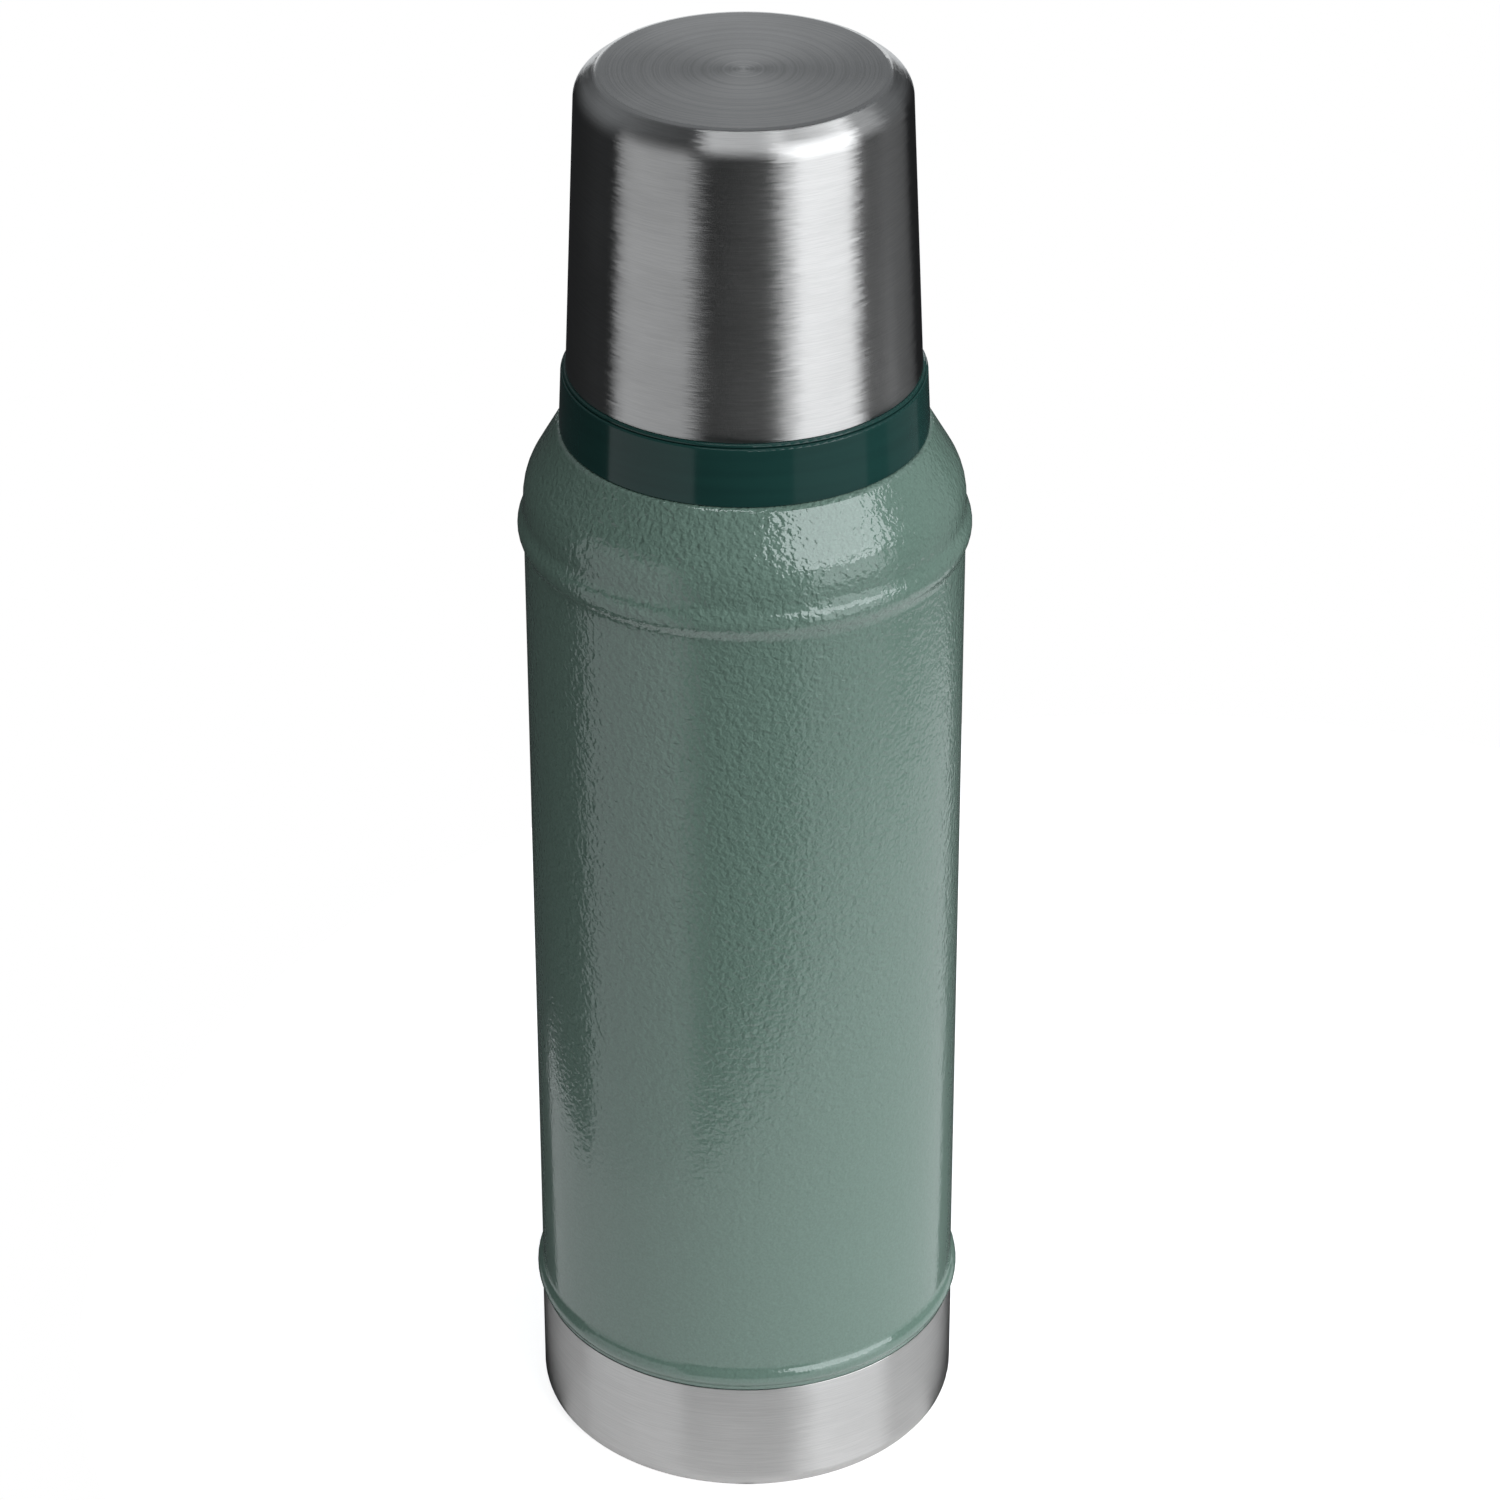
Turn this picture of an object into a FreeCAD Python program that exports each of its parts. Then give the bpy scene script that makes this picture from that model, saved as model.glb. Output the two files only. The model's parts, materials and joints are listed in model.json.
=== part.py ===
"""Vacuum flask: a double-walled steel bottle, a twist stopper and a screw-on drinking cup.

Millimetres, +Z up, origin at the centre of the circle that the flask stands on. Almost every piece is
turned about Z. Corners are given as (radius, height, rounding), and each one is an expression over the
driving dimensions, so the sketches follow the spreadsheet.
"""
import FreeCAD, Part
import math
import os
import re

import Sketcher

DRIVING = {
    # painted outer shell
    "body_radius": 42.5,
    "shell_wall": 0.8,
    "paint_edge": 26.0,
    "edge_round": 0.12,
    "lap_depth": 9.0,
    "lap_clearance": 0.1,
    "low_bead_height": 29.0,
    "low_bead_half": 2.29,
    "low_bead_apex": 1.72,
    "low_bead_crest": 2.4,
    "low_bead_root": 1.4,
    "top_bead_height": 203.2,
    "top_bead_half": 3.13,
    "top_bead_apex": 1.81,
    "top_bead_crest": 4.0,
    "top_bead_root": 3.5,
    "shoulder_height": 212.26,
    "shoulder_round": 13.65,
    "shoulder_angle": 30.0,
    "shelf_height": 223.9,
    "shelf_round": 1.2,
    "neck_radius": 28.0,
    "neck_root": 0.8,
    "neck_top": 245.1,
    # brushed base
    "base_radius": 42.65,
    "base_corner": 3.9,
    "foot_radius": 35.0,
    "foot_round": 1.5,
    "recess_height": 5.0,
    "port_radius": 2.0,
    "seal_head_radius": 4.0,
    "seal_head_depth": 1.5,
    "plate_height": 1.2,
    "plate_wall": 0.6,
    "plate_rim": 2.5,
    # inner vessel
    "vessel_radius": 36.5,
    "vessel_wall": 0.8,
    "vessel_base": 9.5,
    "vessel_shoulder": 205.0,
    "vessel_round": 10.0,
    "throat_radius": 23.4,
    "seat_height": 225.8,
    "seat_rise": 3.2,
    "mouth_radius": 25.2,
    "floor_height": 12.7,
    "floor_round": 3.8,
    "floor_flange": 4.8,
    "foil_gap": 0.1,
    "foil_wall": 0.2,
    "foil_base": 18.0,
    "foil_top": 200.0,
    "getter_radius": 4.0,
    "getter_thickness": 2.0,
    "getter_offset": 16.0,
    "clip_height": 3.2,
    "clip_wall": 0.4,
    "clip_foot": 3.5,
    # collar around the neck
    "collar_radius": 35.35,
    "collar_draft": 0.55,
    "collar_base": 223.95,
    "collar_top": 235.7,
    "collar_skirt": 1.7,
    "sleeve_radius": 29.9,
    "sleeve_bore": 28.15,
    "sleeve_top": 245.4,
    "collar_round": 0.4,
    "sleeve_round": 0.5,
    "moulded_round": 0.3,
    "gasket_thickness": 2.0,
    "fit_gap": 0.1,
    # cup thread: two starts
    "cup_lead": 10.0,
    "cup_turns": 0.55,
    "cup_thread_height": 238.0,
    "cup_male_crest": 31.0,
    "cup_female_crest": 30.3,
    "cup_ridge_root": 1.1,
    "cup_ridge_tip": 0.6,
    # drinking cup
    "cup_radius": 33.8,
    "cup_base": 236.5,
    "cup_wall": 0.8,
    "cup_top": 296.2,
    "cup_knee_radius": 31.35,
    "cup_knee_height": 293.2,
    "cup_knee_round": 4.4,
    "cup_crown_radius": 27.4,
    "cup_crown_round": 2.0,
    "liner_flange_radius": 34.4,
    "liner_base": 235.85,
    "liner_flange": 0.6,
    "liner_gap": 0.15,
    "liner_bore": 31.35,
    "liner_thread_top": 247.5,
    "liner_step": 1.2,
    "liner_ceiling": 288.4,
    "liner_crown": 1.2,
    "liner_taper": 2.3,
    "liner_round": 5.0,
    "liner_edge_round": 0.15,
    "liner_lip_round": 0.4,
    "liner_relief": 0.6,
    "puck_radius": 24.5,
    "puck_round": 1.5,
    # stopper thread: one start
    "stopper_lead": 6.0,
    "stopper_turns": 1.75,
    "stopper_thread_height": 232.5,
    "stopper_male_crest": 24.9,
    "stopper_female_crest": 24.3,
    "male_ridge_root": 1.3,
    "male_ridge_tip": 0.7,
    "female_ridge_root": 1.5,
    "female_ridge_tip": 0.8,
    # stopper
    "plug_base": 221.8,
    "plug_radius": 22.9,
    "plug_round": 1.5,
    "plug_wall": 1.6,
    "plug_fillet": 1.0,
    "plug_core_radius": 23.9,
    "seal_groove_base": 226.1,
    "seal_groove_top": 229.5,
    "seal_groove_radius": 22.0,
    "seal_radius": 24.05,
    "seal_nose": 23.3,
    "seal_nose_height": 1.3,
    "plug_bore": 21.0,
    "head_radius": 27.4,
    "head_base": 247.0,
    "head_thickness": 2.0,
    "head_round": 0.4,
    "head_gasket_inner": 24.4,
    "head_gasket_outer": 27.0,
    "lip_top": 245.95,
    "channel_width": 11.0,
    "channel_depth": 1.3,
    "channel_rise": 0.8,
    "cap_radius": 26.8,
    "cap_draft": 0.5,
    "cap_top": 260.5,
    "cap_stub": 3.0,
    "cap_wall": 2.4,
    "cap_round": 1.5,
    "cap_dish_radius": 19.0,
    "cap_dish_depth": 1.5,
    "cap_dish_round": 0.5,
    "flute_count": 24,
    "flute_radius": 1.9,
    "flute_inset": 0.9,
}

document = FreeCAD.newDocument("vacuum_flask")
sheet = document.addObject("Spreadsheet::Sheet", "dims")
for row, (alias, size) in enumerate(DRIVING.items(), start=1):
    sheet.set(f"A{row}", str(size))
    sheet.setAlias(f"A{row}", alias)
document.recompute()

SUBPARTS = []
ON_AXIS = 1e-9
SAME_PLACE = 1e-3


# ---------------------------------------------------------------- expressions and sketches


def bound(expression):
    """The expression with each driving dimension named through the spreadsheet."""
    return re.sub(r"[a-z_]{3,}", lambda word: f"dims.{word[0]}" if word[0] in DRIVING else word[0],
                  str(expression))


def number(expression):
    """The expression's value, for the first drawing of a sketch."""
    return float(sheet.evalExpression(bound(expression)))


def keep(piece, label):
    """Name a finished piece, so that it is checked and written."""
    piece.Label = label
    SUBPARTS.append(piece)
    return piece


def new_body(label):
    return keep(document.addObject("PartDesign::Body", label), label)


def new_sketch(body, name, plane, height="0"):
    """A sketch on one of the body's own origin planes, lifted along the plane's normal by height."""
    sketch = body.newObject("Sketcher::SketchObject", name)
    support = next(item for item in body.Origin.OriginFeatures if item.Role == plane)
    sketch.AttachmentSupport = [(support, "")]
    sketch.MapMode = "FlatFace"
    if height != "0":
        sketch.setExpression("AttachmentOffset.Base.z", bound(height))
    return sketch


def constrain(sketch, expression, name, kind, *arguments):
    """A dimension of the sketch, bound to an expression."""
    index = sketch.addConstraint(Sketcher.Constraint(kind, *arguments, number(expression)))
    sketch.renameConstraint(index, name)
    sketch.setExpression(f"Constraints.{name}", bound(expression))


def anchor(sketch, geometry, end, corner, name):
    """Hold a point at a corner's radius and height."""
    radius, height = corner[0], corner[1]
    for along, value, axis in (("X", radius, -2), ("Y", height, -1)):
        if abs(number(value)) < ON_AXIS:
            sketch.addConstraint(Sketcher.Constraint("PointOnObject", geometry, end, axis))
        else:
            constrain(sketch, value, f"{name}_{along}", f"Distance{along}", -1, 1, geometry, end)


def offset_points(points, distance):
    """The points of an open path moved to its left by distance, with mitred corners."""
    vector = FreeCAD.Vector
    along = [(b - a).normalize() for a, b in zip(points, points[1:])]
    left = [vector(-step.y, step.x, 0) * distance for step in along]
    moved = [points[0] + left[0]]
    for point, before, after in zip(points[1:-1], left, left[1:]):
        both = before + after
        moved.append(point + both * (2 * distance * distance / both.dot(both)))
    return moved + [points[-1] + left[-1]]


def draw_path(sketch, points, roundings, closed):
    """Lines and rounding arcs through the points. Returns the lines and {corner: (arc, turn)}."""
    count = len(points)
    inner = range(count) if closed else range(1, count - 1)
    enter, leave, arcs = list(points), list(points), {}
    for i in inner:
        if roundings[i] <= 0:
            continue
        before = (points[i] - points[i - 1]).normalize()
        after = (points[(i + 1) % count] - points[i]).normalize()
        turn = math.copysign(1, before.cross(after).z)
        angle = before.getAngle(after)
        enter[i] = points[i] - before * (roundings[i] * math.tan(angle / 2))
        leave[i] = points[i] + after * (roundings[i] * math.tan(angle / 2))
        centre = enter[i] + FreeCAD.Vector(-before.y, before.x, 0) * (turn * roundings[i])
        first, last = (enter[i], leave[i]) if turn > 0 else (leave[i], enter[i])
        span = [math.atan2(p.y - centre.y, p.x - centre.x) for p in (first, last)]
        if span[1] < span[0]:
            span[1] += 2 * math.pi
        circle = Part.Circle(centre, FreeCAD.Vector(0, 0, 1), roundings[i])
        arcs[i] = (sketch.addGeometry(Part.ArcOfCircle(circle, *span), False), turn)
    lines = [sketch.addGeometry(Part.LineSegment(leave[i], enter[(i + 1) % count]), False)
             for i in range(count if closed else count - 1)]
    for i in inner:
        if i in arcs:
            arc, turn = arcs[i]
            first, last = (1, 2) if turn > 0 else (2, 1)
            sketch.addConstraint(Sketcher.Constraint("Tangent", lines[i - 1], 2, arc, first))
            sketch.addConstraint(Sketcher.Constraint("Tangent", arc, last, lines[i], 1))
        else:
            sketch.addConstraint(Sketcher.Constraint("Coincident", lines[i - 1], 2, lines[i], 1))
    return lines, arcs


def rounding_of(corner):
    return corner[2] if len(corner) > 2 else "0"


def draw_corners(sketch, corners, closed):
    """Draw a path and hold every corner of it."""
    points = [FreeCAD.Vector(number(corner[0]), number(corner[1]), 0) for corner in corners]
    roundings = [number(rounding_of(corner)) for corner in corners]
    lines, arcs = draw_path(sketch, points, roundings, closed)
    for i, corner in enumerate(corners):
        if i in arcs:
            mark = sketch.addGeometry(Part.Point(points[i]), True)
            for line in (lines[i - 1], lines[i]):
                sketch.addConstraint(Sketcher.Constraint("PointOnObject", mark, 1, line))
            anchor(sketch, mark, 1, corner, f"corner{i}")
            constrain(sketch, rounding_of(corner), f"round{i}", "Radius", arcs[i][0])
        elif i < len(lines):
            anchor(sketch, lines[i], 1, corner, f"corner{i}")
        else:
            anchor(sketch, lines[-1], 2, corner, f"corner{i}")
    return points, lines, arcs


def draw_sheet(sketch, corners, wall):
    """A sheet-metal section: the given side of the sheet, and a parallel side one wall to its left."""
    points, near, near_arcs = draw_corners(sketch, corners, closed=False)
    roundings = []
    for i, corner in enumerate(corners):
        turn = near_arcs[i][1] if i in near_arcs else 0
        roundings.append(number(rounding_of(corner)) - turn * number(wall) if turn else 0)
    far, far_arcs = draw_path(sketch, offset_points(points, number(wall)), roundings, closed=False)
    for i, (line, twin) in enumerate(zip(near, far)):
        sketch.addConstraint(Sketcher.Constraint("Parallel", line, twin))
        constrain(sketch, wall, f"wall{i}", "Distance", twin, 1, line)
    for i, (arc, turn) in far_arcs.items():
        sign = "-" if turn > 0 else "+"
        constrain(sketch, f"{rounding_of(corners[i])} {sign} {wall}", f"inside{i}", "Radius", arc)
    for line, twin, end in ((near[0], far[0], 1), (near[-1], far[-1], 2)):
        ends = [sketch.getPoint(line, end), sketch.getPoint(twin, end)]
        edge = sketch.addGeometry(Part.LineSegment(*ends), False)
        sketch.addConstraint(Sketcher.Constraint("Coincident", edge, 1, line, end))
        sketch.addConstraint(Sketcher.Constraint("Coincident", edge, 2, twin, end))
        sketch.addConstraint(Sketcher.Constraint("Perpendicular", edge, line))


# ---------------------------------------------------------------- features


def revolve(body, sketch):
    turned = body.newObject("PartDesign::Revolution", f"{body.Label}_turned")
    turned.Profile = sketch
    turned.ReferenceAxis = (sketch, ["V_Axis"])
    turned.Angle = 360
    document.recompute()
    return turned


def turned_piece(label, corners):
    """A solid of revolution from a closed outline."""
    body = new_body(label)
    sketch = new_sketch(body, f"{label}_outline", "XZ_Plane")
    draw_corners(sketch, corners, closed=True)
    revolve(body, sketch)
    return body


def spun_sheet(label, corners, wall):
    """A sheet-metal piece of revolution."""
    body = new_body(label)
    sketch = new_sketch(body, f"{label}_section", "XZ_Plane")
    draw_sheet(sketch, corners, wall)
    revolve(body, sketch)
    return body


def soften(body, radius, height, size):
    """Round off the circular edge at a radius and height."""
    edges = []
    for index, edge in enumerate(body.Shape.Edges, start=1):
        circle = edge.Curve
        if not isinstance(circle, Part.Circle):
            continue
        off_radius = abs(circle.Radius - number(radius))
        off_height = abs(circle.Center.z - number(height))
        if max(off_radius, off_height) < SAME_PLACE:
            edges.append(f"Edge{index}")
    if len(edges) != 1:
        raise RuntimeError(f"{body.Label} has {len(edges)} edges at {radius}, {height}")
    sharp = body.Tip
    fillet = body.newObject("PartDesign::Fillet", f"{body.Label}_softened")
    fillet.Base = (sharp, edges)
    fillet.setExpression("Radius", bound(size))
    document.recompute()
    body.Tip = fillet


def pattern(body, feature, count):
    """Repeat a feature around Z."""
    ring = body.newObject("PartDesign::PolarPattern", f"{feature.Label}_ring")
    ring.Originals = [feature]
    ring.Axis = (next(item for item in body.Origin.OriginFeatures if item.Role == "Z_Axis"), [""])
    ring.Angle = 360
    if isinstance(count, str):
        ring.setExpression("Occurrences", bound(count))
    else:
        ring.Occurrences = count
    document.recompute()
    body.Tip = ring
    return ring


def thread_ridge(body, plane, height, root, crest, root_half, tip_half, lead, turns, starts):
    """A helical ridge of trapezium section, from the radius root to the radius crest."""
    sketch = new_sketch(body, f"{body.Label}_ridge", plane)
    draw_corners(sketch, [
        (root, f"{height} - {root_half}"),
        (crest, f"{height} - {tip_half}"),
        (crest, f"{height} + {tip_half}"),
        (root, f"{height} + {root_half}"),
    ], closed=True)
    ridge = body.newObject("PartDesign::AdditiveHelix", f"{body.Label}_thread")
    ridge.Profile = sketch
    ridge.ReferenceAxis = (sketch, ["V_Axis"])
    ridge.Mode = "pitch-turns-angle"
    ridge.setExpression("Pitch", bound(lead))
    ridge.setExpression("Turns", bound(turns))
    document.recompute()
    if starts > 1:
        pattern(body, ridge, starts)
    return ridge


# ---------------------------------------------------------------- flask: the two steel walls


def bead(height, half, apex, crest, root):
    """Three corners of a bead rolled outwards in the body wall."""
    return [
        ("body_radius", f"{height} - {half}", root),
        (f"body_radius + {apex}", height, crest),
        ("body_radius", f"{height} + {half}", root),
    ]


def make_outer_shell():
    lap_radius = "base_radius - shell_wall - lap_clearance"
    ledge = "paint_edge + lap_clearance"
    spun_sheet("outer_shell", [
        (lap_radius, "paint_edge - lap_depth"),
        (lap_radius, ledge),
        ("body_radius", ledge),
        *bead("low_bead_height", "low_bead_half", "low_bead_apex", "low_bead_crest", "low_bead_root"),
        *bead("top_bead_height", "top_bead_half", "top_bead_apex", "top_bead_crest", "top_bead_root"),
        ("body_radius", "shoulder_height", "shoulder_round"),
        ("body_radius - (shelf_height - shoulder_height) * tan(shoulder_angle)", "shelf_height",
         "shelf_round"),
        ("neck_radius", "shelf_height", "neck_root"),
        ("neck_radius", "neck_top"),
    ], "shell_wall")


def make_base():
    base_cup = spun_sheet("base_cup", [
        ("port_radius", "recess_height"),
        ("foot_radius", "recess_height", "foot_round"),
        ("foot_radius", "0", "foot_round"),
        ("base_radius", "0", "base_corner"),
        ("base_radius", "paint_edge"),
    ], "shell_wall")
    soften(base_cup, "base_radius", "paint_edge", "edge_round")
    step_radius = "foot_radius / 2"
    spun_sheet("base_plate", [
        ("0", "plate_height + plate_wall"),
        (step_radius, "plate_height + plate_wall"),
        (f"{step_radius} + 2 * plate_wall", "plate_height"),
        ("foot_radius - fit_gap", "plate_height", "2 * plate_wall"),
        ("foot_radius - fit_gap", "plate_height + plate_rim"),
    ], "plate_wall")
    head_top = "recess_height - fit_gap / 2"
    stem_radius = "port_radius - fit_gap / 2"
    turned_piece("vacuum_seal", [
        ("0", "recess_height - seal_head_depth"),
        ("seal_head_radius", "recess_height - seal_head_depth", "seal_head_depth / 2"),
        ("seal_head_radius", head_top),
        (stem_radius, head_top),
        (stem_radius, "recess_height + 2 * shell_wall"),
        ("0", "recess_height + 2 * shell_wall"),
    ])


def make_inner_vessel():
    throat_outside = "throat_radius + vessel_wall"
    neck_outside = "mouth_radius + vessel_wall"
    lip_underside = "lip_top - vessel_wall"
    body = spun_sheet("inner_vessel", [
        ("vessel_radius", "vessel_base"),
        ("vessel_radius", "vessel_shoulder", "vessel_round"),
        (throat_outside, f"vessel_shoulder + vessel_radius - ({throat_outside})", "3 * vessel_wall"),
        (throat_outside, "seat_height", "vessel_wall"),
        (neck_outside, "seat_height + seat_rise", "vessel_wall"),
        (neck_outside, lip_underside, "vessel_wall / 2"),
        ("neck_radius", lip_underside),
    ], "vessel_wall")
    # The plug's ridge passes half a lead away from this one, and a quarter turn is a quarter lead.
    thread_ridge(body, "YZ_Plane", "(stopper_thread_height - stopper_lead / 4)",
                 "mouth_radius + vessel_wall / 4", "stopper_female_crest", "female_ridge_root",
                 "female_ridge_tip", "stopper_lead", "stopper_turns", starts=1)
    floor_radius = "vessel_radius - vessel_wall - fit_gap / 2"
    spun_sheet("inner_bottom", [
        ("0", "floor_height"),
        (floor_radius, "floor_height", "floor_round"),
        (floor_radius, "floor_height + floor_flange"),
    ], "vessel_wall")


def make_vacuum_parts():
    """Radiation foil and the getter on its clip, in the evacuated space between the walls."""
    sleeve = document.addObject("Part::Cut", "foil_wrap")
    bore = "vessel_radius + foil_gap"
    for name, radius in (("Base", f"{bore} + foil_wall"), ("Tool", bore)):
        tube = document.addObject("Part::Cylinder", f"foil_wrap_{name.lower()}")
        tube.setExpression("Radius", bound(radius))
        tube.setExpression("Height", bound("foil_top - foil_base"))
        tube.setExpression("Placement.Base.z", bound("foil_base"))
        setattr(sleeve, name, tube)
    keep(sleeve, "foil_wrap")

    disc = document.addObject("Part::Cylinder", "foil_disc")
    disc.setExpression("Radius", bound("vessel_radius - 3 * vessel_wall"))
    disc.setExpression("Height", bound("foil_wall"))
    disc.setExpression("Placement.Base.z", bound("floor_height - foil_gap - foil_wall"))
    keep(disc, "foil_disc")

    clip_floor = "recess_height + shell_wall + fit_gap / 2"
    clip_top = f"{clip_floor} + clip_height"
    left, right = "(getter_offset - getter_radius)", "(getter_offset + getter_radius)"
    clip = new_body("getter_clip")
    sketch = new_sketch(clip, "getter_clip_section", "XZ_Plane")
    draw_sheet(sketch, [
        (f"{left} - clip_foot", clip_floor),
        (left, clip_floor),
        (left, clip_top),
        (right, clip_top),
        (right, clip_floor),
        (f"{right} + clip_foot", clip_floor),
    ], "clip_wall")
    strip = clip.newObject("PartDesign::Pad", "getter_clip_strip")
    strip.Profile = sketch
    strip.Midplane = True
    strip.setExpression("Length", bound("2 * getter_radius"))

    getter = document.addObject("Part::Cylinder", "getter")
    getter.setExpression("Radius", bound("getter_radius - clip_wall"))
    getter.setExpression("Height", bound("getter_thickness"))
    getter.setExpression("Placement.Base.x", bound("getter_offset"))
    getter.setExpression("Placement.Base.z", bound(f"{clip_top} + clip_wall + fit_gap / 2"))
    keep(getter, "getter")


# ---------------------------------------------------------------- flask: collar


def make_collar():
    rebate_radius = "neck_radius + gasket_thickness + 2 * fit_gap"
    core_inner = "sleeve_radius + collar_skirt"
    core_outer = "collar_radius - collar_skirt"
    core_top = "collar_top - collar_skirt"
    body = turned_piece("collar", [
        (rebate_radius, "collar_base"),
        (core_inner, "collar_base"),
        (core_inner, core_top),
        (core_outer, core_top),
        (core_outer, "collar_base"),
        ("collar_radius", "collar_base", "moulded_round"),
        ("collar_radius - collar_draft", "collar_top", "collar_round"),
        ("sleeve_radius", "collar_top", "moulded_round"),
        ("sleeve_radius", "sleeve_top", "sleeve_round"),
        ("sleeve_bore", "sleeve_top", "moulded_round"),
        ("sleeve_bore", "collar_base + gasket_thickness + 3 * fit_gap"),
        (rebate_radius, "collar_base + gasket_thickness + 3 * fit_gap"),
    ])
    thread_ridge(body, "XZ_Plane", "cup_thread_height", "sleeve_radius - fit_gap", "cup_male_crest",
                 "cup_ridge_root", "cup_ridge_tip", "cup_lead", "cup_turns", starts=2)
    ring = document.addObject("Part::Torus", "collar_gasket")
    ring.setExpression("Radius1", bound("neck_radius + fit_gap + gasket_thickness / 2"))
    ring.setExpression("Radius2", bound("gasket_thickness / 2"))
    ring.setExpression("Placement.Base.z", bound("shelf_height + fit_gap + gasket_thickness / 2"))
    keep(ring, "collar_gasket")


# ---------------------------------------------------------------- cup


def make_cup():
    shell = spun_sheet("cup_shell", [
        ("cup_radius", "cup_base"),
        ("cup_knee_radius", "cup_knee_height", "cup_knee_round"),
        ("cup_crown_radius", "cup_top", "cup_crown_round"),
        ("0", "cup_top"),
    ], "cup_wall")
    soften(shell, "cup_radius", "cup_base", "edge_round")

    liner_top = "liner_ceiling + liner_crown"
    outside = "cup_radius - cup_wall - liner_gap"
    flange_top = "liner_base + liner_flange"
    liner = turned_piece("cup_liner", [
        ("liner_bore", "liner_base"),
        ("liner_flange_radius", "liner_base", "liner_edge_round"),
        ("liner_flange_radius", flange_top, "liner_lip_round"),
        (outside, flange_top),
        (f"{outside} - liner_taper", liner_top, "liner_round"),
        ("0", liner_top),
        ("0", "liner_ceiling"),
        (f"{outside} - liner_taper - liner_crown", "liner_ceiling", "liner_round - liner_crown"),
        (f"{outside} - liner_crown - liner_relief", "liner_thread_top + liner_step"),
        ("liner_bore", "liner_thread_top"),
    ])
    # Drawn a quarter turn on from the collar's ridges, this height puts it midway between them.
    thread_ridge(liner, "YZ_Plane", "cup_thread_height", "liner_bore + fit_gap", "cup_female_crest",
                 "cup_ridge_root", "cup_ridge_tip", "cup_lead", "cup_turns", starts=2)

    puck_base = f"{liner_top} + fit_gap"
    puck_top = "cup_top - cup_wall - fit_gap"
    turned_piece("cup_insulation", [
        ("0", puck_base),
        ("puck_radius", puck_base),
        ("puck_radius", puck_top, "puck_round"),
        ("0", puck_top),
    ])


# ---------------------------------------------------------------- stopper


def make_stopper():
    head_top = "head_base + head_thickness"
    body = turned_piece("stopper_body", [
        ("0", "plug_base"),
        ("plug_radius", "plug_base", "plug_round"),
        ("plug_radius", "seal_groove_base"),
        ("seal_groove_radius", "seal_groove_base"),
        ("seal_groove_radius", "seal_groove_top"),
        ("plug_core_radius", "seal_groove_top"),
        ("plug_core_radius", "head_base"),
        ("head_radius", "head_base", "head_round"),
        ("head_radius", head_top, "head_round"),
        ("plug_bore", head_top),
        ("plug_bore", "plug_base + plug_wall", "plug_fillet"),
        ("0", "plug_base + plug_wall"),
    ])
    thread_ridge(body, "XZ_Plane", "stopper_thread_height", "plug_core_radius - fit_gap",
                 "stopper_male_crest", "male_ridge_root", "male_ridge_tip", "stopper_lead",
                 "stopper_turns", starts=1)
    cut_channels(body)

    turned_piece("stopper_seal", [
        ("seal_groove_radius + fit_gap / 2", "seal_groove_base + fit_gap"),
        ("seal_nose", "seal_groove_base + fit_gap"),
        ("seal_radius", "seal_groove_base + fit_gap + seal_nose_height"),
        ("seal_radius", "seal_groove_top - fit_gap"),
        ("seal_groove_radius + fit_gap / 2", "seal_groove_top - fit_gap"),
    ])
    turned_piece("head_gasket", [
        ("head_gasket_inner", "lip_top + fit_gap"),
        ("head_gasket_outer", "lip_top + fit_gap", "moulded_round"),
        ("head_gasket_outer", "head_base - fit_gap / 2", "moulded_round"),
        ("head_gasket_inner", "head_base - fit_gap / 2"),
    ])
    cap_base = f"{head_top} + fit_gap / 2"
    stub_base = "head_base - cap_stub / 2"
    cavity_radius = "plug_bore - cap_wall"
    cavity_top = "cap_top - cap_dish_depth - cap_wall"
    turned_piece("stopper_core", [
        ("0", "plug_base + plug_wall + fit_gap"),
        ("plug_bore - fit_gap", "plug_base + plug_wall + fit_gap", "plug_fillet"),
        ("plug_bore - fit_gap", f"{stub_base} - fit_gap"),
        (f"{cavity_radius} - fit_gap", f"{stub_base} - fit_gap"),
        (f"{cavity_radius} - fit_gap", f"{cavity_top} - fit_gap"),
        ("0", f"{cavity_top} - fit_gap"),
    ])

    cap = turned_piece("stopper_cap", [
        ("0", cavity_top),
        (cavity_radius, cavity_top),
        (cavity_radius, stub_base),
        ("plug_bore - fit_gap", stub_base),
        ("plug_bore - fit_gap", cap_base),
        ("cap_radius", cap_base, "head_round"),
        ("cap_radius - cap_draft", "cap_top", "cap_round"),
        ("cap_dish_radius", "cap_top", "cap_dish_round"),
        ("cap_dish_radius - cap_dish_depth", "cap_top - cap_dish_depth", "cap_dish_round"),
        ("0", "cap_top - cap_dish_depth"),
    ])
    cut_flutes(cap)


def cut_around(body, sketch, length, count, name):
    """Pocket the sketch upwards, repeat it around Z and make sure that it removes material."""
    solid_volume = body.Shape.Volume
    pocket = body.newObject("PartDesign::Pocket", name)
    pocket.Profile = sketch
    pocket.Reversed = True
    pocket.setExpression("Length", bound(length))
    document.recompute()
    pattern(body, pocket, count)
    if body.Shape.Volume >= solid_volume:
        raise RuntimeError(f"{name} removes nothing")


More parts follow.
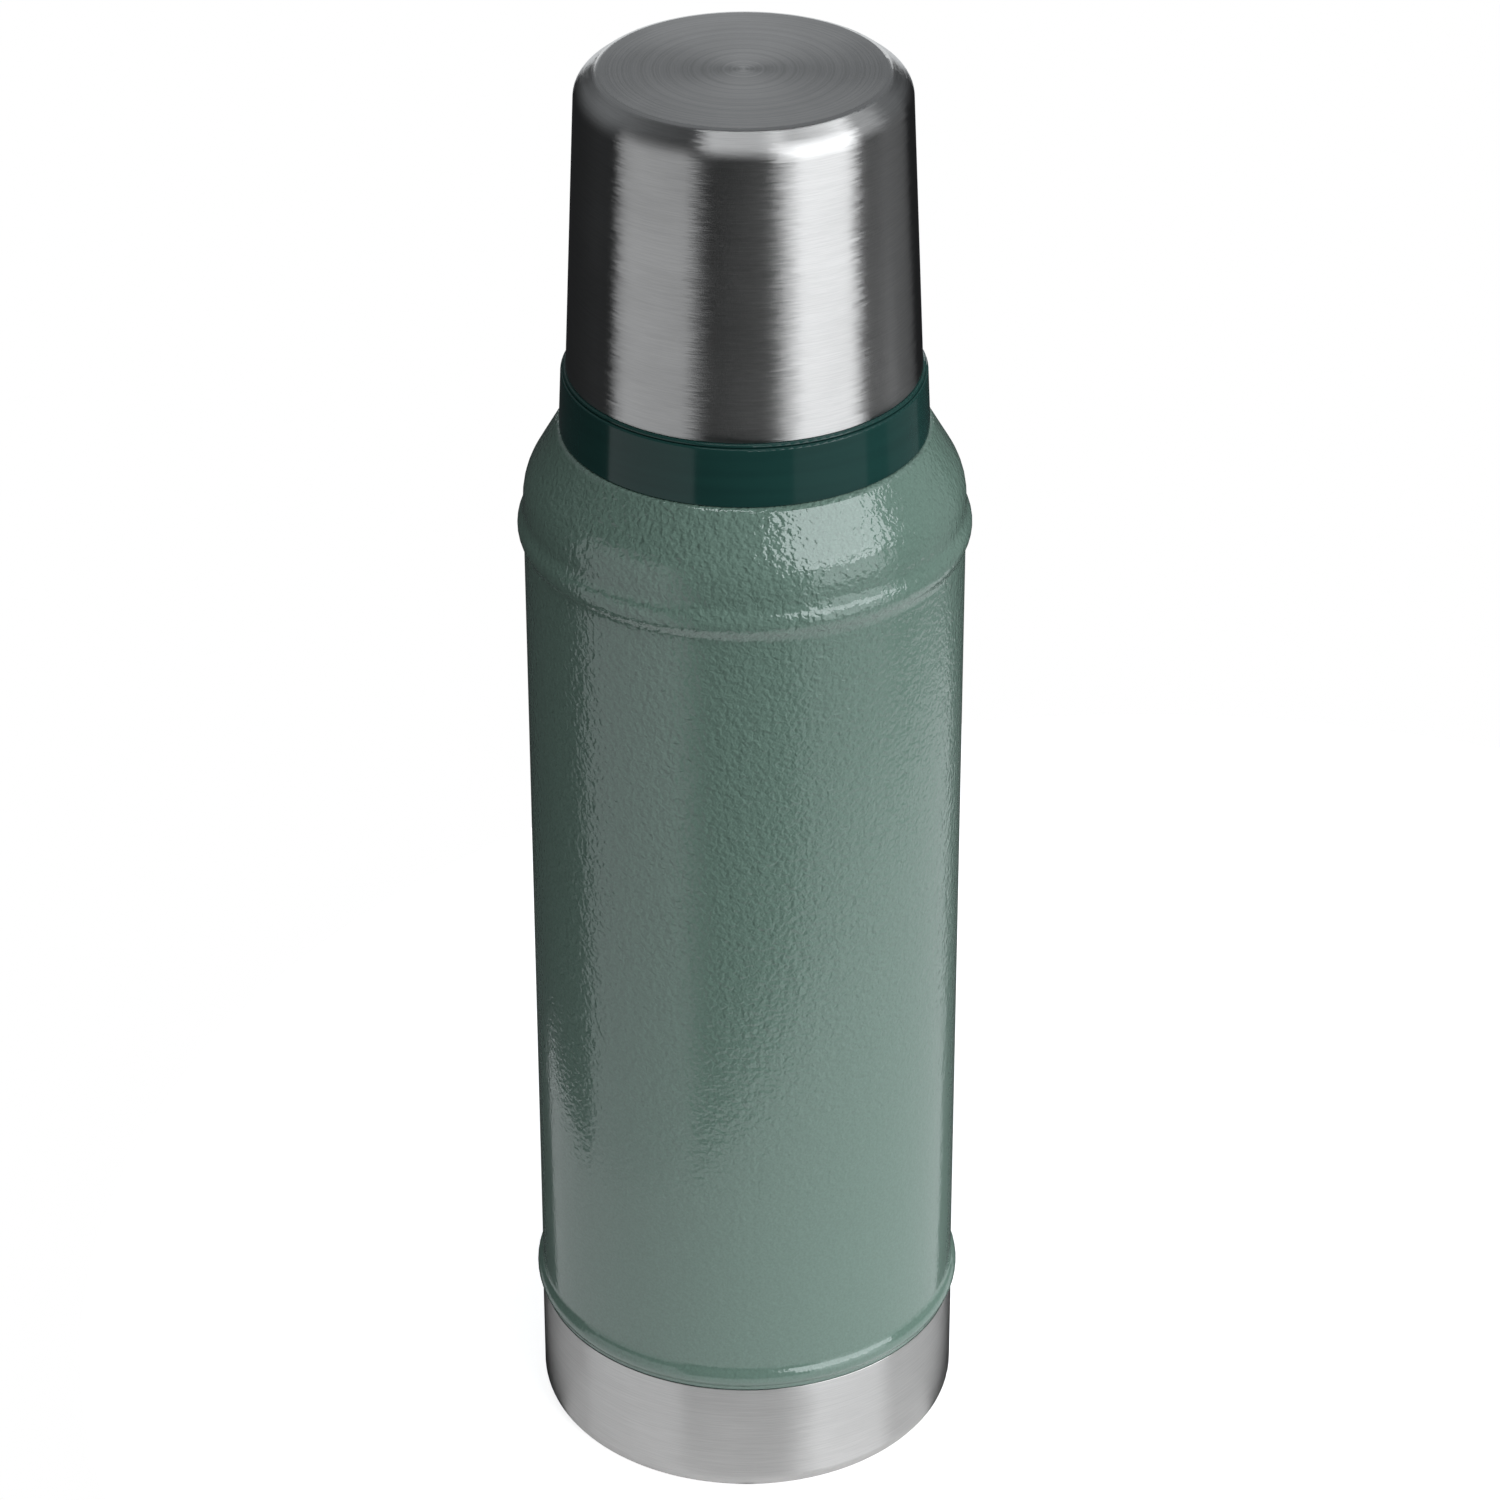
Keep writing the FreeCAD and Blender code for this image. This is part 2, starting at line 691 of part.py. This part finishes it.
def cut_channels(body):
    """Two pouring channels down the sides of the plug, through its thread."""
    base = "seal_groove_top + channel_rise"
    sketch = new_sketch(body, "channel_section", "XY_Plane", base)
    draw_corners(sketch, [
        ("plug_core_radius - channel_depth", "channel_width / 2"),
        ("plug_core_radius - channel_depth", "-channel_width / 2"),
        ("head_radius", "-channel_width / 2"),
        ("head_radius", "channel_width / 2"),
    ], closed=True)
    cut_around(body, sketch, f"head_base - ({base})", 2, "channel")


def cut_flutes(cap):
    """Finger flutes around the cap's rim."""
    base = "head_base + head_thickness"
    sketch = new_sketch(cap, "flute_section", "XY_Plane", base)
    circle = Part.Circle(FreeCAD.Vector(number("cap_radius + flute_inset"), 0, 0),
                         FreeCAD.Vector(0, 0, 1), number("flute_radius"))
    flute = sketch.addGeometry(circle, False)
    sketch.addConstraint(Sketcher.Constraint("PointOnObject", flute, 3, -1))
    constrain(sketch, "cap_radius + flute_inset", "flute_centre", "DistanceX", -1, 1, flute, 3)
    constrain(sketch, "flute_radius", "flute_size", "Radius", flute)
    cut_around(cap, sketch, f"cap_top - ({base}) + cap_round", "flute_count", "flute")


# ---------------------------------------------------------------- build, check and write


def check_document():
    """Stop if any object failed or any piece is not a valid solid."""
    document.recompute()
    for item in document.Objects:
        if "Invalid" in item.State or "Error" in item.State:
            raise RuntimeError(f"{item.Label} failed: {item.State}")
        if item.isDerivedFrom("Sketcher::SketchObject") and not item.FullyConstrained:
            raise RuntimeError(f"{item.Label} is not fully constrained")
    for piece in SUBPARTS:
        shape = piece.Shape
        if shape.isNull() or not shape.isValid() or len(shape.Solids) != 1:
            raise RuntimeError(f"{piece.Label} is not one valid solid")


make_outer_shell()
make_base()
make_inner_vessel()
make_vacuum_parts()
make_collar()
make_cup()
make_stopper()
check_document()

os.makedirs("parts", exist_ok=True)
for piece in SUBPARTS:
    piece.Shape.exportStep(f"parts/{piece.Label}.step")
    print(f"{piece.Label:16s} {piece.Shape.Volume / 1000:8.2f} cm3")
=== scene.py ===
"""Looks of a vacuum flask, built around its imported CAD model. Metres, +Z up, in the CAD's frame.

Every visible piece is a turned part, so the finishes are written in the coordinates of a lathe: the
height along the flask's axis, the distance from it, and the direction around it.
"""
import json
import math

import bmesh
import bpy
from mathutils import Matrix, Vector


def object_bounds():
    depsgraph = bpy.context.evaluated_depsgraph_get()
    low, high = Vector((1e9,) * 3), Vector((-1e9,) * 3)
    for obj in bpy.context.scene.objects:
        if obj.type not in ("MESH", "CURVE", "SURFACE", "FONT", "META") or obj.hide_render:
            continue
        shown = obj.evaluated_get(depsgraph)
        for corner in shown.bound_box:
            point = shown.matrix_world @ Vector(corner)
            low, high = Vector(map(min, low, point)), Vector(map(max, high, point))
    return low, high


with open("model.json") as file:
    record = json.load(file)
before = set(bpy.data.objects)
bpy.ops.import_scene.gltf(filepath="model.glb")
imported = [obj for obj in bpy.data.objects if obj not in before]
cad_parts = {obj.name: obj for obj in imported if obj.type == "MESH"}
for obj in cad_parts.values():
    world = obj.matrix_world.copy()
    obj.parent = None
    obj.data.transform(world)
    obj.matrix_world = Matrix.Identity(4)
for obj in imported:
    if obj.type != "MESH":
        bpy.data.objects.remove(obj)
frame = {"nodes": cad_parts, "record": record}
cad_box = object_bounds()

MM = 0.001

# ---------------------------------------------------------------- camera and studio

# The lens and the sensor are in millimetres, the angles in radians.
LENS = 125.93
SENSOR = 36.0
CAMERA_PLACE = Vector((0.0, -0.8906, 0.6778))
CAMERA_PITCH = 0.5339
CAMERA_YAW = 0.001
CAMERA_ROLL = -0.0024

# Directions are in degrees round the flask from the camera's side, positive to the camera's right.
# The three key lights make the bright strip on the right of the steel, and the left panel makes the
# one on its left.
LIGHTS = {
    "key_softbox": {"azimuth": 52.5, "elevation": 30, "distance": 2.2, "width": 2.2, "height": 1.5,
                    "radiance": 3.1},
    "key_core": {"azimuth": 52.5, "elevation": 0, "distance": 2.1, "width": 1.5, "height": 1.2,
                 "radiance": 1.1},
    "key_skirt": {"azimuth": 54, "elevation": -22, "distance": 1.0, "width": 0.85, "height": 0.9,
                  "radiance": 0.3},
    "side_softbox": {"azimuth": 96, "elevation": 38, "distance": 2.2, "width": 1.4, "height": 0.9,
                     "radiance": 0.8},
    "top_softbox": {"azimuth": -2, "elevation": 69, "distance": 2.2, "width": 1.4, "height": 0.55,
                    "radiance": 3.3},
    "left_panel": {"azimuth": -60, "elevation": -17, "distance": 1.0, "width": 1.06, "height": 1.15,
                   "radiance": 0.57},
    "right_panel": {"azimuth": 115, "elevation": -22, "distance": 1.0, "width": 0.6, "height": 1.3,
                    "radiance": 0.14},
    "rear_softbox": {"azimuth": 180, "elevation": 2, "distance": 1.3, "width": 0.8, "height": 0.9,
                     "radiance": 1.0},
}
LIGHT_TARGET = Vector((0, 0, 0.2))
# Slightly blue. The outer steel is slightly warm, so that it comes out neutral in this light.
LIGHT_COLOUR = (0.955, 1.0, 1.03)

# The room is white for the camera. Every other ray finds it dark, with a lighter wall at the back that
# fades in as the ray turns backward (its y) and upward (its z).
ROOM_COLOUR = (0.93, 1.0, 1.05)
ROOM_DARK = 0.025
ROOM_BACK = 0.19
BACK_TURN = (-0.1, 0.4)
BACK_RISE = (0.1, 0.4)

TABLE_CENTRE = (0.1, 0.03)
TABLE_RADIUS = 0.243
TABLE_SIDES = 128
TABLE_DROP = 0.05 * MM
TABLE_ALBEDO = 0.9
# How strongly the table glows for the camera, and for reflections.
TABLE_GLOW = 0.8
TABLE_SHEEN = 0.2
# Reflections also see a painted shadow of the flask on the table, which gives the base band its dark
# ends. The painted shadow lies where y is over slope * |x| + start for both pairs: beside the flask
# and behind it.
SHADOW_EDGES = ((0.6, -43.6 * MM), (1.3, -78 * MM))
SHADOW_BLUR = 3 * MM
PAINTED_SHADOW_ALBEDO = 0.08


def direction(azimuth, elevation):
    turn, rise = math.radians(azimuth), math.radians(elevation)
    return Vector((math.sin(turn) * math.cos(rise), -math.cos(turn) * math.cos(rise), math.sin(rise)))


def add_camera():
    forward = Vector((math.sin(CAMERA_YAW) * math.cos(CAMERA_PITCH),
                      math.cos(CAMERA_YAW) * math.cos(CAMERA_PITCH), -math.sin(CAMERA_PITCH)))
    level = Vector((math.cos(CAMERA_YAW), -math.sin(CAMERA_YAW), 0))
    upright = level.cross(forward)
    right = math.cos(CAMERA_ROLL) * level + math.sin(CAMERA_ROLL) * upright
    up = math.cos(CAMERA_ROLL) * upright - math.sin(CAMERA_ROLL) * level
    data = bpy.data.cameras.new("camera")
    data.lens = LENS
    data.sensor_width = SENSOR
    camera = bpy.data.objects.new("camera", data)
    turn = Matrix((right, up, -forward)).transposed().to_4x4()
    camera.matrix_world = Matrix.Translation(CAMERA_PLACE) @ turn
    bpy.context.scene.collection.objects.link(camera)
    bpy.context.scene.camera = camera


def add_lights():
    for name, spec in LIGHTS.items():
        data = bpy.data.lights.new(name, "AREA")
        data.shape = "RECTANGLE"
        data.size = spec["width"]
        data.size_y = spec["height"]
        data.color = LIGHT_COLOUR
        data.energy = spec["radiance"] * math.pi * spec["width"] * spec["height"]
        light = bpy.data.objects.new(name, data)
        away = direction(spec["azimuth"], spec["elevation"])
        light.location = LIGHT_TARGET + away * spec["distance"]
        light.rotation_euler = away.to_track_quat("Z", "Y").to_euler()
        light.visible_camera = False
        bpy.context.scene.collection.objects.link(light)


class Graph:
    """Short calls for shader nodes. They return output sockets, so that they nest."""

    def __init__(self, tree):
        self.tree = tree
        tree.nodes.clear()

    def add(self, kind, inputs=None, output=0, **settings):
        node = self.tree.nodes.new(kind)
        for key, value in settings.items():
            setattr(node, key, value)
        for key, value in (inputs or {}).items():
            if isinstance(value, bpy.types.NodeSocket):
                self.tree.links.new(value, node.inputs[key])
            else:
                node.inputs[key].default_value = value
        return node.outputs[output] if node.outputs else node

    def part(self, vector, axis):
        return self.add("ShaderNodeSeparateXYZ", {0: vector}, output=axis)

    def maths(self, operation, first, second=0.0):
        return self.add("ShaderNodeMath", {0: first, 1: second}, operation=operation)

    def ramp(self, value, start, end, low=0.0, high=1.0):
        """Low below start, high above end, and a smooth change between them."""
        return self.add("ShaderNodeMapRange", {
            "Value": value, "From Min": start, "From Max": end, "To Min": low, "To Max": high,
        }, interpolation_type="SMOOTHSTEP")

    def tint(self, amount, first, second):
        return self.add("ShaderNodeMix", {"Factor": amount, "A": (*first, 1), "B": (*second, 1)},
                        output=2, data_type="RGBA")


def set_world():
    world = bpy.data.worlds.new("studio")
    world.use_nodes = True
    bpy.context.scene.world = world
    graph = Graph(world.node_tree)
    ray = graph.add("ShaderNodeTexCoord", output="Generated")
    behind = graph.ramp(graph.part(ray, "Y"), *BACK_TURN)
    above = graph.ramp(graph.part(ray, "Z"), *BACK_RISE)
    back_wall = graph.maths("MULTIPLY", graph.maths("MULTIPLY", behind, above), ROOM_BACK)
    ambient = graph.maths("ADD", back_wall, ROOM_DARK)
    dim = graph.add("ShaderNodeBackground", {"Color": (*ROOM_COLOUR, 1), "Strength": ambient})
    white = graph.add("ShaderNodeBackground", {"Color": (1, 1, 1, 1), "Strength": 1.0})
    seen = graph.add("ShaderNodeLightPath", output="Is Camera Ray")
    surface = graph.add("ShaderNodeMixShader", {0: seen, 1: dim, 2: white})
    graph.add("ShaderNodeOutputWorld", {"Surface": surface})


def table_white():
    """White that glows for the camera, so that the table fades into the white background. Mirrored
    rays see a painted shadow on it beside and behind the flask.
    """
    material = bpy.data.materials.new("table_white")
    material.use_nodes = True
    graph = Graph(material.node_tree)
    seen = graph.add("ShaderNodeLightPath", output="Is Camera Ray")
    mirrored = graph.add("ShaderNodeLightPath", output="Is Glossy Ray")
    glow = graph.maths("ADD", graph.maths("MULTIPLY", seen, TABLE_GLOW),
                       graph.maths("MULTIPLY", mirrored, TABLE_SHEEN))
    place = graph.add("ShaderNodeNewGeometry", output="Position")
    # Painted shadow, for mirrored rays only: the table is painted dark and its glow taken away beside
    # and behind the flask.
    aside = graph.maths("ABSOLUTE", graph.part(place, "X"))
    edges = [graph.maths("ADD", graph.maths("MULTIPLY", aside, slope), start)
             for slope, start in SHADOW_EDGES]
    inside = graph.maths("SUBTRACT", graph.part(place, "Y"), graph.maths("MAXIMUM", *edges))
    shadow = graph.maths("MULTIPLY", graph.ramp(inside, 0, SHADOW_BLUR), mirrored)
    glow = graph.maths("MULTIPLY", glow, graph.maths("SUBTRACT", 1.0, shadow))
    shader = graph.add("ShaderNodeBsdfPrincipled", {
        "Base Color": graph.tint(shadow, [TABLE_ALBEDO] * 3, [PAINTED_SHADOW_ALBEDO] * 3), "Roughness": 0.9,
        "Specular IOR Level": 0.1, "Emission Color": (1, 1, 1, 1), "Emission Strength": glow,
    })
    graph.add("ShaderNodeOutputMaterial", {"Surface": shader})
    return material


def add_table():
    """The round table that the flask stands on."""
    mesh = bpy.data.meshes.new("table")
    form = bmesh.new()
    bmesh.ops.create_circle(form, cap_ends=True, segments=TABLE_SIDES, radius=TABLE_RADIUS)
    form.to_mesh(mesh)
    form.free()
    table = bpy.data.objects.new("table", mesh)
    bpy.context.scene.collection.objects.link(table)
    table.location = (*TABLE_CENTRE, cad_box[0][2] - TABLE_DROP)
    mesh.materials.append(table_white())


# ---------------------------------------------------------------- finishes

# A finish with two colours varies between them.
PAINT = ((0.173, 0.268, 0.218), (0.192, 0.297, 0.242))
TARNISHED_METAL = ((0.36, 0.36, 0.37), (0.52, 0.52, 0.53))
# The foil's two coppers are a lit and a shaded copy: painted shade in its crease hollows.
LIT_AND_SHADED_COPPER = ((0.66, 0.36, 0.24), (0.82, 0.50, 0.36))
GREY_SILICONE = ((0.26, 0.27, 0.27), (0.34, 0.35, 0.345))
CREAM_FOAM = ((0.66, 0.62, 0.50), (0.80, 0.77, 0.67))
OUTER_STEEL = (0.69, 0.668, 0.655)
VESSEL_STEEL = (0.64, 0.63, 0.61)
DEEP_GREEN = (0.014, 0.056, 0.049)
NEAR_BLACK = (0.014, 0.016, 0.016)

# Noise keeps mostly to the first span. A ramp over the narrow one gives crisper patches, over the wide
# one softer patches.
NOISE_SPAN = (0.3, 0.7)
NARROW_SPAN = (0.35, 0.65)
WIDE_SPAN = (0.25, 0.75)
# Directions round the axis are taken no nearer to it than this.
LEAST_RADIUS = 0.01 * MM

# The sides of the steel carry short brush lines and its level faces whole rings. Lengths along a line
# are in radians round the axis.
LINE_PITCH = 0.1 * MM
LINE_LENGTH = 0.16
LINE_DEPTH = 0.0011 * MM
RING_PITCH = 0.35 * MM
RING_DEPTH = 0.0003 * MM
RINGS_ON_SIDES = 0.25
# Painted shade: the steel's colour is darkened by this factor in the grooves of its brush lines and
# rings.
GROOVE_SHADE = 0.87
# A face becomes level as its normal's upward part grows through this span. Spinning has polished it:
# it keeps these parts of the sides' roughness and stretch.
LEVEL_SPAN = (0.8, 0.98)
LEVEL_ROUGHNESS = 0.65
LEVEL_STRETCH = 0.6
# How far the surface leans to either side along a line, which roughens the edges of the highlights.
SWAY = 0.03
SWAY_PITCH = 0.16 * MM
SWAY_LENGTH = 0.12
# Handling leaves clouds that are this much rougher or smoother.
CLOUD_SIZE = 14 * MM
CLOUD_CHANGE = 0.012
# The shader blurs along its tangent, and a quarter turn puts the blur across the lines.
QUARTER_TURN = 0.25


class Finish(Graph):
    """A material for a turned piece."""

    def __init__(self, name):
        self.material = bpy.data.materials.new(name)
        self.material.use_nodes = True
        super().__init__(self.material.node_tree)
        self.place = self.add("ShaderNodeTexCoord", output="Object")
        self.x, self.y, self.z = (self.part(self.place, axis) for axis in "XYZ")
        squares = self.maths("ADD", self.maths("POWER", self.x, 2.0), self.maths("POWER", self.y, 2.0))
        self.radius = self.maths("MAXIMUM", self.maths("SQRT", squares), LEAST_RADIUS)

    def noise(self, size, detail=2.0, roughness=0.5, distortion=0.0):
        """Even noise whose features are about this size."""
        return self.add("ShaderNodeTexNoise", {
            "Vector": self.place, "Scale": 1 / size, "Detail": detail, "Roughness": roughness,
            "Distortion": distortion,
        })

    def turned(self, pitch, length):
        """Noise drawn out round the axis: lines this far apart, each this many radians long."""
        around = [self.maths("DIVIDE", self.maths("DIVIDE", part, self.radius), length)
                  for part in (self.x, self.y)]
        across = self.maths("DIVIDE", self.z, pitch)
        vector = self.add("ShaderNodeCombineXYZ", {0: around[0], 1: around[1], 2: across})
        return self.add("ShaderNodeTexNoise", {
            "Vector": vector, "W": self.maths("DIVIDE", self.radius, pitch), "Scale": 1.0,
            "Detail": 1.0, "Roughness": 0.6,
        }, noise_dimensions="4D")

    def rings(self, pitch):
        """Noise that is the same all the way round the axis."""
        vector = self.add("ShaderNodeCombineXYZ", {0: self.radius, 1: self.z})
        return self.add("ShaderNodeTexNoise", {
            "Vector": vector, "Scale": 1 / pitch, "Detail": 2.0}, noise_dimensions="2D")

    def bump(self, height, depth):
        return self.add("ShaderNodeBump", {"Height": height, "Distance": depth, "Strength": 1.0})

    def surface(self, **inputs):
        """Close the material with a principled shader. Names use _ for the sockets' spaces."""
        named = {key.replace("_", " "): value for key, value in inputs.items()}
        return self.close(self.add("ShaderNodeBsdfPrincipled", named))

    def close(self, shader):
        self.add("ShaderNodeOutputMaterial", {"Surface": shader})
        return self.material


def brushed_steel(name, colour, roughness, stretch):
    """Steel brushed on a lathe. Stretch is how much more it blurs across the lines than along them."""
    finish = Finish(name)
    true_normal = finish.add("ShaderNodeNewGeometry", output="True Normal")
    level = finish.ramp(finish.part(true_normal, "Z"), *LEVEL_SPAN)

    def between(on_sides, on_level_faces):
        return finish.ramp(level, 0, 1, on_sides, on_level_faces)

    lines = finish.add("ShaderNodeMix", {
        "Factor": between(RINGS_ON_SIDES, 1.0), "A": finish.turned(LINE_PITCH, LINE_LENGTH),
        "B": finish.rings(RING_PITCH),
    })
    grooved = finish.bump(lines, between(LINE_DEPTH, RING_DEPTH))
    tangent = finish.add("ShaderNodeTangent", direction_type="RADIAL", axis="Z")
    side = finish.ramp(finish.turned(SWAY_PITCH, SWAY_LENGTH), *WIDE_SPAN, -1, 1)
    lean = finish.maths("MULTIPLY", side, between(SWAY, 0.0))
    aside = finish.add("ShaderNodeVectorMath", {0: tangent, "Scale": lean}, operation="SCALE")
    leaning = finish.add("ShaderNodeVectorMath", {0: grooved, 1: aside}, operation="ADD")
    normal = finish.add("ShaderNodeVectorMath", {0: leaning}, operation="NORMALIZE")
    # Painted shade in the grooves: the colour is darker where the lines' relief is low.
    shaded_grooves = [GROOVE_SHADE * part for part in colour]
    clouds = finish.ramp(finish.noise(CLOUD_SIZE), *NOISE_SPAN, -CLOUD_CHANGE, CLOUD_CHANGE)
    shader = finish.add("ShaderNodeBsdfMetallic", {
        "Base Color": finish.tint(finish.ramp(lines, *NOISE_SPAN), shaded_grooves, colour),
        "Edge Tint": (0.8, 0.8, 0.8, 1),
        "Roughness": finish.maths("ADD", between(roughness, LEVEL_ROUGHNESS * roughness), clouds),
        "Anisotropy": between(stretch, LEVEL_STRETCH * stretch), "Rotation": QUARTER_TURN,
        "Normal": normal, "Tangent": tangent,
    }, distribution="BECKMANN", fresnel_type="F82")
    return finish.close(shader)


def hammertone():
    """Hammered paint: pale flake in a green binder under a clear gloss that has set in wrinkles."""
    finish = Finish("hammertone_paint")
    wrinkles = finish.noise(1.0 * MM, detail=1.0, roughness=0.45, distortion=0.3)
    grain = finish.noise(0.45 * MM, detail=1.0)
    swell = finish.noise(2.2 * MM, detail=0.0)
    relief = 0.0
    for layer, share in ((wrinkles, 0.7), (grain, 0.1), (swell, 0.3)):
        relief = finish.maths("ADD", relief, finish.maths("MULTIPLY", layer, share))
    calmer_low_down = finish.ramp(finish.z, 50 * MM, 140 * MM, 0.3, 1.0)
    relief = finish.maths("MULTIPLY", relief, calmer_low_down)
    flake = finish.bump(relief, 0.72 * MM)
    gloss = finish.bump(relief, 0.22 * MM)
    return finish.surface(
        Base_Color=finish.tint(finish.ramp(grain, *NOISE_SPAN), *PAINT),
        Roughness=0.6, Specular_IOR_Level=0.2, Normal=flake,
        Coat_Weight=1.0, Coat_Roughness=0.07, Coat_IOR=1.75, Coat_Normal=gloss)


def moulded_plastic(name, colour, roughness, grain_size, grain_depth):
    """Plastic with the faint flow lines and the uneven gloss of its mould."""
    finish = Finish(name)
    flow = finish.ramp(finish.turned(2.2 * MM, 1.2), *NOISE_SPAN)
    in_flow_lines = [1.12 * part for part in colour]
    swirl = finish.noise(9 * MM, detail=1.0)
    uneven = finish.ramp(swirl, *NOISE_SPAN, 0.9 * roughness, 1.15 * roughness)
    return finish.surface(
        Base_Color=finish.tint(flow, colour, in_flow_lines), Roughness=uneven,
        Specular_IOR_Level=0.38, Normal=finish.bump(finish.noise(grain_size), grain_depth))


def dull_metal():
    finish = Finish("seal_metal")
    pits = finish.noise(0.4 * MM, detail=4.0)
    tarnish = finish.ramp(finish.noise(2.5 * MM), *NARROW_SPAN)
    return finish.surface(
        Base_Color=finish.tint(tarnish, *TARNISHED_METAL), Metallic=1.0,
        Roughness=finish.ramp(pits, *NOISE_SPAN, 0.38, 0.6), Normal=finish.bump(pits, 0.01 * MM))


def copper_foil():
    """Thin foil with the soft creases left by wrapping it."""
    finish = Finish("radiation_foil")
    creases = finish.noise(7 * MM, detail=3.0, roughness=0.6, distortion=1.2)
    # Painted shade: the creases that bump the foil also darken its colour in their hollows and lighten
    # it on their ridges.
    return finish.surface(
        Base_Color=finish.tint(finish.ramp(creases, *NARROW_SPAN), *LIT_AND_SHADED_COPPER), Metallic=1.0,
        Roughness=0.24, Normal=finish.bump(creases, 0.35 * MM))


def silicone():
    finish = Finish("grey_silicone")
    bloom = finish.ramp(finish.noise(1.8 * MM, detail=3.0), *NOISE_SPAN)
    skin = finish.noise(0.2 * MM, detail=1.0)
    return finish.surface(
        Base_Color=finish.tint(bloom, *GREY_SILICONE), Roughness=0.55, Subsurface_Weight=0.1,
        Subsurface_Scale=0.4 * MM, Normal=finish.bump(skin, 0.008 * MM))


def foam():
    """Expanded foam with cells about half a millimetre wide."""
    finish = Finish("foam")
    cells = finish.add("ShaderNodeTexVoronoi", {"Vector": finish.place, "Scale": 1 / (0.6 * MM)})
    tone = finish.ramp(finish.noise(6 * MM), *NOISE_SPAN)
    return finish.surface(
        Base_Color=finish.tint(tone, *CREAM_FOAM), Roughness=0.9, Normal=finish.bump(cells, 0.12 * MM))


def finishes():
    """One material for each slot that the record names."""
    return {
        "hammertone_paint": hammertone(),
        "brushed_steel": brushed_steel("brushed_steel", OUTER_STEEL, roughness=0.36, stretch=1.0),
        "vessel_steel": brushed_steel("vessel_steel", VESSEL_STEEL, roughness=0.26, stretch=0.5),
        "seal_metal": dull_metal(),
        "radiation_foil": copper_foil(),
        "green_plastic": moulded_plastic("green_plastic", DEEP_GREEN, roughness=0.12,
                                         grain_size=0.9 * MM, grain_depth=0.0006 * MM),
        "stopper_plastic": moulded_plastic("stopper_plastic", NEAR_BLACK, roughness=0.42,
                                           grain_size=0.25 * MM, grain_depth=0.006 * MM),
        "grey_silicone": silicone(),
        "foam": foam(),
    }


def paint_nodes():
    """Give each CAD node the finish that its slot in the record names."""
    materials = finishes()
    slots = {part["node"]: part["material_slot"] for part in frame["record"]["subparts"]}
    for name, node in frame["nodes"].items():
        node.data.materials.clear()
        node.data.materials.append(materials[slots[name]])


add_camera()
add_lights()
set_world()
add_table()
paint_nodes()
bpy.context.scene.view_settings.view_transform = "Standard"
